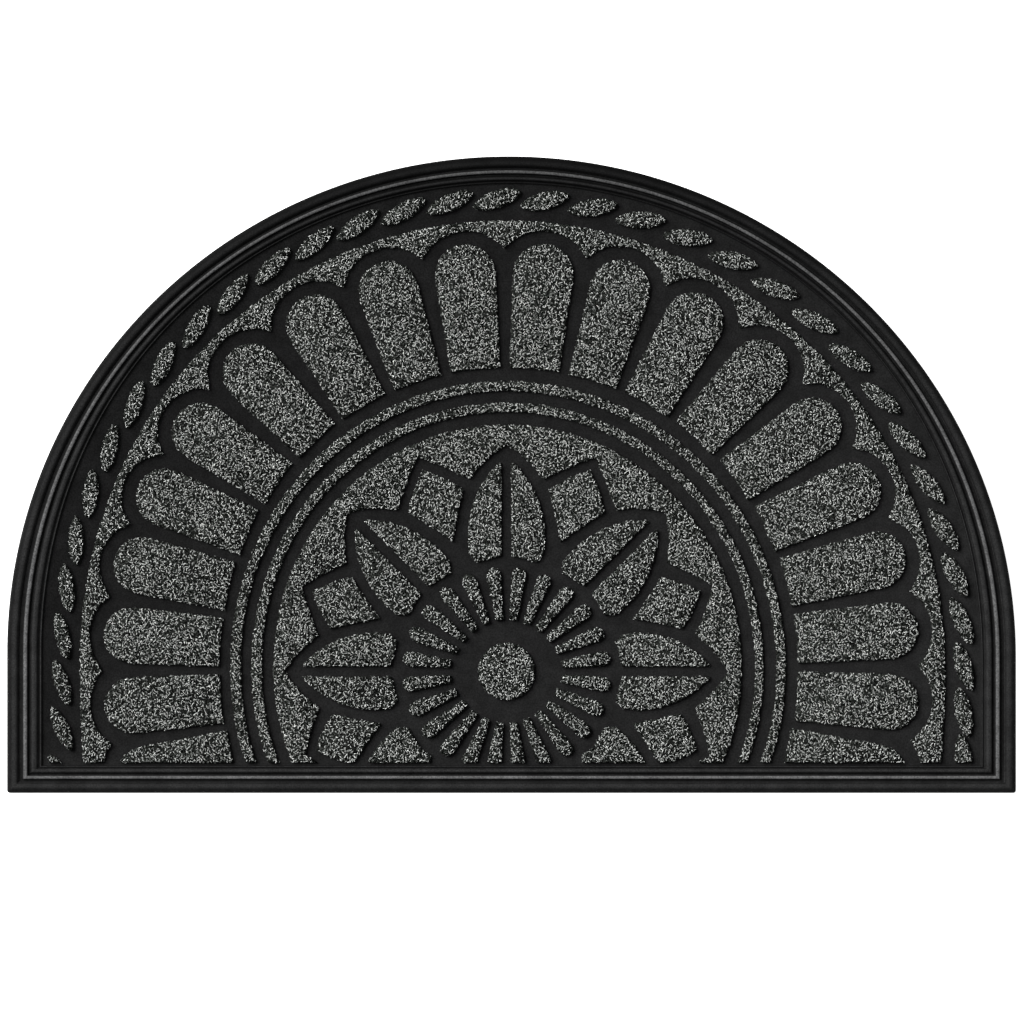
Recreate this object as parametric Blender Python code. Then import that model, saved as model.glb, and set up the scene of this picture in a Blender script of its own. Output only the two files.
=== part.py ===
"""A half-round entrance mat: a moulded rubber base with raised pads of fibre pile.

The origin is under the middle of the mat. X runs along the straight front edge, Y runs back
from that edge to the crown of the arc, and Z is up. Sizes are in millimetres, angles are in
degrees, and both are converted where the meshes are made.
"""

import math

import bmesh
import bpy
from mathutils import Matrix, Vector

MM = 0.001

# Overall size of the base
WIDTH = 914.4
DEPTH = 577.0
ARC_CENTRE_UP = 125.7
CROWN_SHIFT = -2.3
FLOOR_HEIGHT = 3.6
ARC_STEPS = 56
INSET_BLEND = 6

# Heights of the pile
SEAT_GAP = 0.3
PAD_TOP = 8.0
PAD_SHOULDER = 1.1
BACKING_THICKNESS = 0.6
BACKING_OVERLAP = 0.2
WELD_DISTANCE = 0.01
FLAT_ENOUGH = 0.99

# The pattern's centre, and the line above the straight edge that cuts the pattern off
PATTERN_X = -4.6
PATTERN_UP = 110.2
CUT_UP = 27.8

FRONT_Y = -DEPTH / 2
ARC_CENTRE_Y = FRONT_Y + ARC_CENTRE_UP
PATTERN_Y = FRONT_Y + PATTERN_UP
CUT_Y = FRONT_Y + CUT_UP

# Cross-section of the frame from its foot to the channel floor.
# Columns: inset at the straight sides, inset at the front edge and round the arc, height.
FRAME_PROFILE = (
    (0.4, 0.4, 0.0),
    (0.0, 0.0, 0.6),
    (0.0, 0.0, 4.6),
    (0.8, 0.8, 5.6),
    (2.4, 2.4, 6.2),
    (9.0, 8.6, 6.6),
    (10.2, 9.8, 6.2),
    (10.8, 10.4, 5.0),
    (13.9, 12.0, 5.0),
    (14.8, 12.8, 6.8),
    (15.9, 13.6, 7.4),
    (17.5, 14.8, 7.4),
    (18.6, 15.6, 6.8),
    (19.2, 16.2, 5.0),
    (20.6, 17.4, 5.0),
    (21.2, 18.1, 6.2),
    (28.0, 22.2, 6.2),
    (28.6, 22.6, 5.2),
    (29.4, 23.0, 5.2),
    (30.0, 23.4, 5.6),
    (31.2, 24.3, 5.6),
    (32.0, 25.0, FLOOR_HEIGHT),
)

# Rings of the pattern, none of them a true circle.
# Columns: radius at the right, at the crown and at the left, from the pattern's centre.
FIELD_OUTER = (213.0, 223.5, 211.0)
FIELD_PETAL_TIP = (201.0, 205.5, 201.0)
FIELD_KITE_TIP = (199.4, 211.5, 197.1)
FIELD_CUSP = (174.5, 177.5, 173.0)
INNER_RING_INSIDE = (225.5, 235.5, 222.0)
INNER_RING_OUTSIDE = (233.0, 243.5, 231.0)
OUTER_RING_INSIDE = (245.0, 254.5, 241.0)
OUTER_RING_OUTSIDE = (253.0, 263.0, 250.0)
ARCH_FOOT = (264.6, 275.6, 260.3)
ARCH_CROWN = (374.4, 388.8, 365.6)
SCALLOP_CUSP = (373.0, 383.6, 366.5)
SCALLOP_APEX = (387.4, 401.0, 378.8)
BAND_OUTSIDE = (397.4, 408.5, 386.4)
LEAF_CENTRE = (414.2, 427.8, 403.0)
CROWN_BLEND = 1.4

# How much of the way the outermost rings run straight to the front, below the pattern's centre
BAND_STRAIGHTNESS = 0.6
LEAF_STRAIGHTNESS = 1.0

# The part of each ring that is drawn before it is cut
RING_START = -40.0
RING_END = 220.0
RING_STEPS = 52
CROWN_ANGLE = 90.0

# Rosette
DISC_RADIUS = 25.8
DISC_STEPS = 24

RAY_COUNT = 24
RAY_INNER = 46.8
RAY_OUTER = 94.9
RAY_HALF_WIDTH_INNER = 3.1
RAY_HALF_WIDTH_OUTER = 6.5
# The rays to the right and left start farther out
RAY_INNER_DRAW = 4.5
RAY_INNER_SHARPNESS = 12
RAY_TIP_STEPS = 4
RAY_STRIP_INSIDE = 54.0
RAY_STRIP_OUTSIDE = 74.0
RAY_STRIP_STEPS = 48

PETAL_STEP = 45.0
PETAL_FIRST = -45.0
PETAL_COUNT = 7
PETAL_TIP = (184.0, 189.0, 184.0)
PETAL_WIDEST = (119.0, 122.3, 119.0)
PETAL_HEEL = (99.0, 99.0, 99.0)
PETAL_HALF_WIDTH = 35.0
PETAL_TIP_HALF_WIDTH = 7.0
PETAL_CHANNEL_HALF_WIDTH = 4.8
PETAL_EDGE_STEPS = 6
PETAL_HEEL_ACROSS = 27.2
PETAL_HEEL_RISE = 5.5
PETAL_SIDE_RISE = 7.0
PETAL_SIDE_DRAW = 1.3
# The petals that the front line cuts have no channel. Their upper half grows on over the middle
# line, and this is how far it reaches, and how far it lies outwards of the heel there.
GROWN_START = (-5.0, 3.0)
GROWN_CORNER = (-10.0, 8.0)

KITE_TIP = (187.0, 198.5, 187.0)
KITE_CORNER = (160.0, 168.0, 160.0)
KITE_HEEL = (123.5, 127.5, 123.5)
# Half widths at the right, at the crown and at the left
KITE_HALF_WIDTH = (24.5, 27.5, 24.5)
KITE_TIP_BULGE = 1.6
KITE_HEEL_BULGE = -0.6
KITE_SIDE_STEPS = 3
KITE_FIRST = -22.5
KITE_COUNT = 6

FIELD_CUSP_ANGLE = 10.9
FIELD_PETAL_BULGE = 2.6
FIELD_KITE_BULGE = 1.0
FIELD_SIDE_STEPS = 3

# Arcade
ARCH_STEP = 11.19
ARCH_FIRST = -16.0
ARCH_COUNT = 20
ARCH_FOOT_HALF_WIDTH = 22.2
# Half widths at the right, at the crown and at the left
ARCH_HALF_WIDTH = (25.2, 27.4, 25.2)
ARCH_DOME_STEPS = 9
ARCH_FOOT_STEPS = 3
ARCH_PIVOT = 275.0
MOST_LEAN = 7.0
UPRIGHT_SHARPNESS = 4
SCALLOP_HALF_CHORD = 35.3
SCALLOP_STEPS = 8
# How much deeper the cusps reach halfway up the sides: at the right, at the crown, at the left
CUSP_SAG = (3.5, 5.5, 7.5)

# Border of leaves
LEAF_COUNT = 35
LEAF_STEP = 6.0
LEAF_FIRST = -11.3
LEAF_SWAY = 0.75
LEAF_SWAY_PERIOD = 102.0
LEAF_SWAY_PEAK = 76.0
# Half lengths and half widths at the right, at the crown and at the left
LEAF_HALF_LENGTH = (23.0, 23.0, 22.0)
LEAF_HALF_WIDTH = (7.6, 7.7, 6.6)
LEAF_TILT = 17.0
LEAF_POINTEDNESS = 0.3
LEAF_STEPS = 12
LEAF_STRIP_HALF_WIDTH = 3.5

# Finishes
RUBBER_COLOUR = (0.017, 0.017, 0.018, 1.0)
RUBBER_ROUGHNESS = 0.62
PILE_COLOUR = (0.130, 0.137, 0.130, 1.0)
PILE_ROUGHNESS = 0.95


def clear_scene():
    """Removes the objects that the scene starts with."""
    for item in list(bpy.data.objects):
        bpy.data.objects.remove(item, do_unlink=True)


def make_material(name, colour, roughness):
    """Returns a Principled material of one colour."""
    material = bpy.data.materials.new(name)
    material.use_nodes = True
    shader = material.node_tree.nodes["Principled BSDF"]
    shader.inputs["Base Color"].default_value = colour
    shader.inputs["Roughness"].default_value = roughness
    shader.inputs["Metallic"].default_value = 0.0
    material.diffuse_color = colour
    return material


def ring_radius(ring, angle, straightness=0.0):
    """Returns a ring's radius at an angle: 0 is to the right and 90 is at the crown.

    Below the pattern's centre a straightness of 1 makes the ring run straight to the front.
    """
    right, crown, left = ring
    turn = math.radians(angle)
    side = (right + left) / 2 + (right - left) / 2 * math.cos(turn)
    if math.sin(turn) < 0.0:
        return side * (1.0 + straightness * (1.0 / abs(math.cos(turn)) - 1.0))
    return side + (crown - side) * math.sin(turn) ** CROWN_BLEND


def ring_point(ring, angle, straightness=0.0):
    """Returns the point of a ring at an angle, measured from the pattern's centre."""
    radius = ring_radius(ring, angle, straightness)
    turn = math.radians(angle)
    return (radius * math.cos(turn), radius * math.sin(turn))


def spread(start, end, steps):
    """Returns steps + 1 even values from start to end."""
    return [start + (end - start) * step / steps for step in range(steps + 1)]


def turned(points, angle):
    """Returns points turned about the point that they are measured from."""
    turn = Matrix.Rotation(math.radians(angle), 2)
    return [tuple(turn @ Vector(point)) for point in points]


def bowed_side(start, end, bulge, steps):
    """Returns points from start up to but not including end, bowed out to their right."""
    along = Vector(end) - Vector(start)
    right = Vector((along.y, -along.x)).normalized()
    points = []
    for step in range(steps):
        share = step / steps
        offset = 4.0 * bulge * share * (1.0 - share)
        points.append(tuple(Vector(start) + along * share + right * offset))
    return points


def arc_drop(half_chord, depth, offset):
    """Returns how far a circular arc has dropped at an offset from its middle."""
    radius = (half_chord ** 2 + depth ** 2) / (2.0 * depth)
    return radius - math.sqrt(radius ** 2 - offset ** 2)


def half_round_outline(side_inset, end_inset):
    """Returns the mat's outline, drawn in by the given insets.

    The crown lies a little to one side. The side inset holds along the straight sides and soon
    gives way to the end inset along the arc.
    """
    half_width = WIDTH / 2
    rise = DEPTH - ARC_CENTRE_UP
    points = []
    for angle in spread(0.0, 180.0, ARC_STEPS):
        turn = math.radians(angle)
        across, up = math.cos(turn), math.sin(turn)
        point = Vector((half_width * across + CROWN_SHIFT * up, ARC_CENTRE_Y + rise * up))
        outward = Vector((across / half_width, up / rise)).normalized()
        inset = end_inset + (side_inset - end_inset) * abs(across) ** INSET_BLEND
        points.append(tuple(point - outward * inset))
    points.append((side_inset - half_width, FRONT_Y + end_inset))
    points.append((half_width - side_inset, FRONT_Y + end_inset))
    return points


def circle(radius, steps):
    """Returns a circle round the pattern's centre."""
    turns = [math.tau * step / steps for step in range(steps)]
    return [(radius * math.cos(turn), radius * math.sin(turn)) for turn in turns]


def ray_outline(angle):
    """Returns one ray, tapered to the middle and round outside, along its angle."""
    centre = RAY_OUTER - RAY_HALF_WIDTH_OUTER
    sideways = abs(math.cos(math.radians(angle)))
    inner = RAY_INNER + RAY_INNER_DRAW * sideways ** RAY_INNER_SHARPNESS
    points = [(inner, RAY_HALF_WIDTH_INNER), (inner, -RAY_HALF_WIDTH_INNER)]
    for turn in spread(-math.pi / 2, math.pi / 2, RAY_TIP_STEPS):
        along = centre + RAY_HALF_WIDTH_OUTER * math.cos(turn)
        points.append((along, RAY_HALF_WIDTH_OUTER * math.sin(turn)))
    return turned(points, angle)


def petal_outline(angle, side, grown):
    """Returns one half of a petal as (across, outward) points; side is 1 or -1."""
    tip = ring_radius(PETAL_TIP, angle)
    widest = ring_radius(PETAL_WIDEST, angle)
    heel = ring_radius(PETAL_HEEL, angle)
    drop = PETAL_HALF_WIDTH - PETAL_TIP_HALF_WIDTH
    points = [(PETAL_CHANNEL_HALF_WIDTH, heel + PETAL_HEEL_RISE)]
    if grown:
        for across, out in (GROWN_START, GROWN_CORNER):
            points.append((across, heel + out))
        points.append((GROWN_CORNER[0], tip))
    else:
        points.append((PETAL_CHANNEL_HALF_WIDTH, tip))
    for out in spread(tip, widest, PETAL_EDGE_STEPS):
        across = PETAL_HALF_WIDTH - arc_drop(tip - widest, drop, out - widest)
        points.append((across, out))
    points.append((PETAL_HALF_WIDTH - PETAL_SIDE_DRAW, heel + PETAL_SIDE_RISE))
    points.append((PETAL_HEEL_ACROSS, heel))
    return [(across * side, out) for across, out in points]


def kite_outline(angle):
    """Returns one kite as (across, outward) points."""
    tip = (0.0, ring_radius(KITE_TIP, angle))
    heel = (0.0, ring_radius(KITE_HEEL, angle))
    half_width = ring_radius(KITE_HALF_WIDTH, angle)
    corner_out = ring_radius(KITE_CORNER, angle)
    left = (-half_width, corner_out)
    right = (half_width, corner_out)
    points = bowed_side(heel, right, KITE_HEEL_BULGE, KITE_SIDE_STEPS)
    points += bowed_side(right, tip, KITE_TIP_BULGE, KITE_SIDE_STEPS)
    points += bowed_side(tip, left, KITE_TIP_BULGE, KITE_SIDE_STEPS)
    points += bowed_side(left, heel, KITE_HEEL_BULGE, KITE_SIDE_STEPS)
    return points


def field_outline():
    """Returns the field round the rosette: half-round outside, star-shaped inside."""
    outer = [ring_point(FIELD_OUTER, angle) for angle in spread(RING_START, RING_END, RING_STEPS)]
    inner = []
    for petal in range(PETAL_COUNT - 1):
        angle = PETAL_FIRST + petal * PETAL_STEP
        tip = ring_point(FIELD_PETAL_TIP, angle)
        near_cusp = ring_point(FIELD_CUSP, angle + FIELD_CUSP_ANGLE)
        kite = ring_point(FIELD_KITE_TIP, angle + PETAL_STEP / 2)
        far_cusp = ring_point(FIELD_CUSP, angle + PETAL_STEP - FIELD_CUSP_ANGLE)
        next_tip = ring_point(FIELD_PETAL_TIP, angle + PETAL_STEP)
        inner += bowed_side(tip, near_cusp, FIELD_PETAL_BULGE, FIELD_SIDE_STEPS)
        inner += bowed_side(near_cusp, kite, FIELD_KITE_BULGE, FIELD_SIDE_STEPS)
        inner += bowed_side(kite, far_cusp, FIELD_KITE_BULGE, FIELD_SIDE_STEPS)
        inner += bowed_side(far_cusp, next_tip, FIELD_PETAL_BULGE, FIELD_SIDE_STEPS)
    return outer + inner[::-1]


def ring_outline(inside, outside, start=RING_START, end=RING_END, straightness=0.0):
    """Returns a curved band between two rings."""
    angles = spread(start, end, RING_STEPS)
    outer = [ring_point(outside, angle, straightness) for angle in angles]
    inner = [ring_point(inside, angle, straightness) for angle in angles]
    return outer + inner[::-1]


def arch_lean(angle):
    """Returns how far an arch is turned from the line through the pattern's centre.

    Arches halfway up the sides lean the most, towards the straight edge. Those near the crown
    stand upright.
    """
    turn = math.radians(angle)
    return -MOST_LEAN * math.sin(2.0 * turn) * (1.0 - math.sin(turn) ** UPRIGHT_SHARPNESS)


def leaned_angle(angle, radius):
    """Returns the angle at which the leaning middle line of an arch crosses a radius."""
    lean = math.radians(arch_lean(angle))
    beyond = radius - ARCH_PIVOT
    across = beyond * math.sin(lean)
    return angle + math.degrees(math.atan2(across, ARCH_PIVOT + beyond * math.cos(lean)))


def arch_outline(angle):
    """Returns one arch as (across, outward) points: a curved foot and a round, leaning dome."""
    foot = ring_radius(ARCH_FOOT, angle)
    half_width = ring_radius(ARCH_HALF_WIDTH, angle)
    shoulder = ring_radius(ARCH_CROWN, angle) - half_width
    points = []
    for across in spread(-ARCH_FOOT_HALF_WIDTH, ARCH_FOOT_HALF_WIDTH, ARCH_FOOT_STEPS):
        points.append((across, math.sqrt(foot ** 2 - across ** 2)))
    for turn in spread(0.0, math.pi, ARCH_DOME_STEPS):
        across = half_width * math.cos(turn)
        points.append((across, shoulder + half_width * math.sin(turn)))
    pivot = Vector((0.0, ARCH_PIVOT))
    leaning = turned([Vector(point) - pivot for point in points], arch_lean(angle))
    return [tuple(Vector(point) + pivot) for point in leaning]


def scallop_band_outline():
    """Returns the band that is round outside and has one scallop over each arch."""
    angles = spread(RING_START, RING_END, RING_STEPS)
    outer = [ring_point(BAND_OUTSIDE, angle, BAND_STRAIGHTNESS) for angle in angles]
    inner = []
    for arch in range(-1, ARCH_COUNT + 1):
        middle = ARCH_FIRST + arch * ARCH_STEP
        for step in range(SCALLOP_STEPS):
            share = 2.0 * step / SCALLOP_STEPS - 1.0
            angle = middle + share * ARCH_STEP / 2
            apex = ring_radius(SCALLOP_APEX, angle)
            sag = ring_radius(CUSP_SAG, angle) * abs(math.sin(2.0 * math.radians(angle)))
            depth = apex - ring_radius(SCALLOP_CUSP, angle) + sag
            radius = apex - arc_drop(SCALLOP_HALF_CHORD, depth, share * SCALLOP_HALF_CHORD)
            turn = math.radians(leaned_angle(angle, radius))
            inner.append((radius * math.cos(turn), radius * math.sin(turn)))
    return outer + inner[::-1]


def leaf_sway(angle):
    """Returns how far a leaf has moved along its ring: the leaves crowd and spread in waves."""
    return LEAF_SWAY * math.cos(math.tau * (angle - LEAF_SWAY_PEAK) / LEAF_SWAY_PERIOD)


def leaf_outline(angle):
    """Returns one leaf of the border, slanted to the ring it sits on."""
    half_length = ring_radius(LEAF_HALF_LENGTH, angle)
    half_width = ring_radius(LEAF_HALF_WIDTH, angle)
    points = []
    for step in range(LEAF_STEPS):
        turn = math.tau * step / LEAF_STEPS
        height = math.sin(turn) * abs(math.sin(turn)) ** LEAF_POINTEDNESS
        points.append((half_length * math.cos(turn), half_width * height))
    centre = Vector(ring_point(LEAF_CENTRE, angle, LEAF_STRAIGHTNESS))
    return [tuple(centre + Vector(point)) for point in turned(points, angle + CROWN_ANGLE + LEAF_TILT)]


def outline_solid(name, outlines, bottom, top, angle=CROWN_ANGLE):
    """Returns a mesh object of flat outlines, standing from bottom to top.

    The outlines are measured from the pattern's centre, and their +Y points along the angle.
    """
    curve = bpy.data.curves.new(name, "CURVE")
    curve.dimensions = "2D"
    curve.fill_mode = "BOTH"
    curve.extrude = (top - bottom) / 2 * MM
    for outline in outlines:
        spline = curve.splines.new("POLY")
        spline.points.add(len(outline) - 1)
        for point, (x, y) in zip(spline.points, outline):
            point.co = (x * MM, y * MM, 0.0, 1.0)
        spline.use_cyclic_u = True

    guide = bpy.data.objects.new(name + "_outline", curve)
    guide.location = (PATTERN_X * MM, PATTERN_Y * MM, (top + bottom) / 2 * MM)
    guide.rotation_euler = (0.0, 0.0, math.radians(angle - CROWN_ANGLE))
    bpy.context.scene.collection.objects.link(guide)
    bpy.context.view_layer.update()
    evaluated = guide.evaluated_get(bpy.context.evaluated_depsgraph_get())
    mesh = bpy.data.meshes.new_from_object(evaluated)
    mesh.name = name

    solid = bpy.data.objects.new(name, mesh)
    solid.matrix_world = guide.matrix_world
    bpy.data.objects.remove(guide, do_unlink=True)
    bpy.data.curves.remove(curve)

    shape = bmesh.new()
    shape.from_mesh(mesh)
    bmesh.ops.remove_doubles(shape, verts=shape.verts, dist=WELD_DISTANCE * MM)
    shape.to_mesh(mesh)
    shape.free()
    return solid


def cut_to_front_line(solid):
    """Removes what lies beyond the line that cuts the pattern off and closes the cut."""
    shape = bmesh.new()
    shape.from_mesh(solid.data)
    to_local = solid.matrix_world.inverted()
    point = to_local @ Vector((0.0, CUT_Y * MM, 0.0))
    normal = to_local.to_3x3() @ Vector((0.0, 1.0, 0.0))
    everything = shape.verts[:] + shape.edges[:] + shape.faces[:]
    bmesh.ops.bisect_plane(
        shape,
        geom=everything,
        dist=WELD_DISTANCE * MM,
        plane_co=point,
        plane_no=normal,
        clear_inner=True,
    )
    open_edges = [edge for edge in shape.edges if edge.is_boundary]
    if open_edges:
        bmesh.ops.holes_fill(shape, edges=open_edges, sides=0)
        bmesh.ops.recalc_face_normals(shape, faces=shape.faces)
    shape.to_mesh(solid.data)
    shape.free()


def round_shoulder(solid):
    """Takes the sharp rim off the top of a pad."""
    shape = bmesh.new()
    shape.from_mesh(solid.data)
    flat = [face for face in shape.faces if face.normal.z > FLAT_ENOUGH]
    merged = bmesh.ops.dissolve_faces(shape, faces=flat, use_verts=False)["region"]
    bmesh.ops.bevel(
        shape,
        geom=list(merged[0].edges),
        offset=PAD_SHOULDER * MM,
        segments=1,
        profile=0.5,
        affect="EDGES",
        clamp_overlap=False,
        material=-1,
    )
    shape.to_mesh(solid.data)
    shape.free()


def make_pad(name, outline, material, collection, angle=CROWN_ANGLE):
    """Adds one pile pad, standing just above the channel floor."""
    pad = outline_solid(name, [outline], FLOOR_HEIGHT + SEAT_GAP, PAD_TOP, angle)
    round_shoulder(pad)
    cut_to_front_line(pad)
    pad.data.materials.append(material)
    collection.objects.link(pad)


def make_backed_pads(name, pad_outlines, strip_outlines, material, collection):
    """Adds many small pads that stand on one thin backing strip."""
    foot = FLOOR_HEIGHT + SEAT_GAP
    backing = outline_solid(name, strip_outlines, foot, foot + BACKING_THICKNESS)
    cut_to_front_line(backing)
    collection.objects.link(backing)
    pads = outline_solid(name + "_pads", pad_outlines, foot + BACKING_OVERLAP, PAD_TOP)
    cut_to_front_line(pads)
    collection.objects.link(pads)

    union = backing.modifiers.new("join pads", "BOOLEAN")
    union.operation = "UNION"
    union.solver = "EXACT"
    union.object = pads
    bpy.context.view_layer.update()
    evaluated = backing.evaluated_get(bpy.context.evaluated_depsgraph_get())
    mesh = bpy.data.meshes.new_from_object(evaluated)
    mesh.name = name
    mesh.materials.append(material)
    backing.modifiers.remove(union)
    backing.data = mesh
    bpy.data.objects.remove(pads, do_unlink=True)


def make_rays(material, collection):
    """Adds the ring of rays."""
    step = 360.0 / RAY_COUNT
    rays = [ray_outline(step * (ray + 0.5)) for ray in range(RAY_COUNT)]
    strip = [circle(RAY_STRIP_OUTSIDE, RAY_STRIP_STEPS), circle(RAY_STRIP_INSIDE, RAY_STRIP_STEPS)]
    make_backed_pads("pile_rays", rays, strip, material, collection)


def make_leaves(material, collection):
    """Adds the border of slanted leaves."""
    angles = [LEAF_FIRST + LEAF_STEP * leaf for leaf in range(LEAF_COUNT)]
    leaves = [leaf_outline(angle + leaf_sway(angle)) for angle in angles]
    inside = tuple(radius - LEAF_STRIP_HALF_WIDTH for radius in LEAF_CENTRE)
    outside = tuple(radius + LEAF_STRIP_HALF_WIDTH for radius in LEAF_CENTRE)
    strip = ring_outline(inside, outside, angles[0], angles[-1], LEAF_STRAIGHTNESS)
    make_backed_pads("pile_leaves", leaves, [strip], material, collection)


def make_petals(material, collection):
    """Adds the halves of the petals that lie inside the cut."""
    number = 0
    upper_half = {0: (-1,), PETAL_COUNT - 1: (1,)}
    for petal in range(PETAL_COUNT):
        angle = PETAL_FIRST + petal * PETAL_STEP
        for side in upper_half.get(petal, (-1, 1)):
            outline = petal_outline(angle, side, petal in upper_half)
            number += 1
            make_pad(f"pile_petal_{number:02d}", outline, material, collection, angle)


def make_kites(material, collection):
    """Adds the kites between the petals."""
    for kite in range(KITE_COUNT):
        angle = KITE_FIRST + kite * PETAL_STEP
        make_pad(f"pile_kite_{kite + 1}", kite_outline(angle), material, collection, angle)


def make_arches(material, collection):
    """Adds the fan of arches."""
    for arch in range(ARCH_COUNT):
        angle = ARCH_FIRST + arch * ARCH_STEP
        make_pad(f"pile_arch_{arch + 1:02d}", arch_outline(angle), material, collection, angle)


def make_base(material, collection):
    """Adds the rubber base: rings of its half-round outline, from the foot in to the floor."""
    shape = bmesh.new()
    rings = []
    for side_inset, end_inset, height in FRAME_PROFILE:
        outline = half_round_outline(side_inset, end_inset)
        rings.append([shape.verts.new((x * MM, y * MM, height * MM)) for x, y in outline])
    for lower, upper in zip(rings, rings[1:]):
        for here in range(len(lower)):
            after = (here + 1) % len(lower)
            shape.faces.new((lower[here], lower[after], upper[after], upper[here]))
    shape.faces.new(rings[-1])
    shape.faces.new(rings[0][::-1])
    mesh = bpy.data.meshes.new("rubber_base")
    shape.to_mesh(mesh)
    shape.free()
    mesh.materials.append(material)
    base = bpy.data.objects.new("rubber_base", mesh)
    collection.objects.link(base)


def main():
    """Builds the mat."""
    clear_scene()
    collection = bpy.data.collections.new("half_round_mat")
    bpy.context.scene.collection.children.link(collection)
    rubber = make_material("moulded rubber", RUBBER_COLOUR, RUBBER_ROUGHNESS)
    pile = make_material("fibre pile", PILE_COLOUR, PILE_ROUGHNESS)

    make_base(rubber, collection)
    make_pad("pile_disc", circle(DISC_RADIUS, DISC_STEPS), pile, collection)
    make_rays(pile, collection)
    make_petals(pile, collection)
    make_kites(pile, collection)
    make_pad("pile_field", field_outline(), pile, collection)
    inner_ring = ring_outline(INNER_RING_INSIDE, INNER_RING_OUTSIDE)
    make_pad("pile_ring_inner", inner_ring, pile, collection)
    outer_ring = ring_outline(OUTER_RING_INSIDE, OUTER_RING_OUTSIDE)
    make_pad("pile_ring_outer", outer_ring, pile, collection)
    make_arches(pile, collection)
    make_pad("pile_scallop_band", scallop_band_outline(), pile, collection)
    make_leaves(pile, collection)


main()
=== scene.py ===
"""Dresses the half-round entrance mat: a moulded rubber base with raised pads of curly pile.

The mat lies on the floor with its straight edge to the front. X runs along that edge, Y runs back
to the crown of the arc and Z is up. Sizes are in millimetres in the classes, and a mesh gets
metres only when it is finished.
"""

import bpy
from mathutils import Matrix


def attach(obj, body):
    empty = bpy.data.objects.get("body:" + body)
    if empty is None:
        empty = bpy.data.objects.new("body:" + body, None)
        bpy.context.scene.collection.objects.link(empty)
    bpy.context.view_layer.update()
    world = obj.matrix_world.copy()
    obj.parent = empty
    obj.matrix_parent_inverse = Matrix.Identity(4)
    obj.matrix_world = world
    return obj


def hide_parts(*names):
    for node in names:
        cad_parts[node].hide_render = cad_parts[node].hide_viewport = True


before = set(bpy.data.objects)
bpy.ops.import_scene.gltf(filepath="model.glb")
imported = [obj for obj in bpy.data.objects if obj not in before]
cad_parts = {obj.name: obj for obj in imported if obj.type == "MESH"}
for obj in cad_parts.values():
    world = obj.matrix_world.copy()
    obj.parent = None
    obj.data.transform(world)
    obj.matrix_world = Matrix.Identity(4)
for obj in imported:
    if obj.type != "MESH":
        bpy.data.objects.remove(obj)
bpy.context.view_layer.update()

import logging
import math
from dataclasses import dataclass, field
from enum import Enum

import bmesh
import bpy
import numpy as np
from mathutils import Vector

MM = 0.001
MM_PER_METRE = 1000

# Layout of a pad's map: the strands to the left, by their lightness, and the ground to the right.
STRAND_MAP_LEFT = 0.01
STRAND_MAP_GIRTH = 0.02
GROUND_MAP_LEFT = 0.52
MAP_WIDTH = 0.46
MAP_LOW = 0.02
MAP_HEIGHT = 0.96

log = logging.getLogger("mat")


class Slot(Enum):
    """The record's material slots."""

    RUBBER = "rubber"
    PILE = "pile"


class Face(Enum):
    """Material index of a pile piece's faces."""

    GROUND = 0
    STRAND = 1


def to_linear(code: str) -> tuple[float, float, float, float]:
    """Turns an sRGB hex colour into linear numbers.

    Args:
        code: six hex digits after a hash sign.

    Returns:
        Red, green, blue and an alpha of 1.
    """
    parts = [int(code[start : start + 2], 16) / 255 for start in (1, 3, 5)]
    linear = [p / 12.92 if p <= 0.04045 else ((p + 0.055) / 1.055) ** 2.4 for p in parts]
    return (*linear, 1.0)


def add_node(
    tree: bpy.types.NodeTree,
    kind: str,
    settings: dict[str, object] | None = None,
    inputs: dict[int | str, object] | None = None,
) -> bpy.types.Node:
    """Adds a shader node with its settings, its values and its links.

    Args:
        tree: the material's or the world's node tree.
        kind: the node's type name.
        settings: properties of the node.
        inputs: a value, or an output socket to link from, for each input socket.

    Returns:
        The new node.
    """
    node = tree.nodes.new(kind)
    for name, value in (settings or {}).items():
        setattr(node, name, value)
    for name, value in (inputs or {}).items():
        if isinstance(value, bpy.types.NodeSocket):
            tree.links.new(value, node.inputs[name])
        else:
            node.inputs[name].default_value = value
    return node


def new_material(name: str) -> tuple[bpy.types.Material, bpy.types.NodeTree]:
    """Makes an empty node material.

    Args:
        name: what the material is.

    Returns:
        The material and its node tree.
    """
    material = bpy.data.materials.new(name)
    material.use_nodes = True
    material.node_tree.nodes.clear()
    return material, material.node_tree


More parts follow.
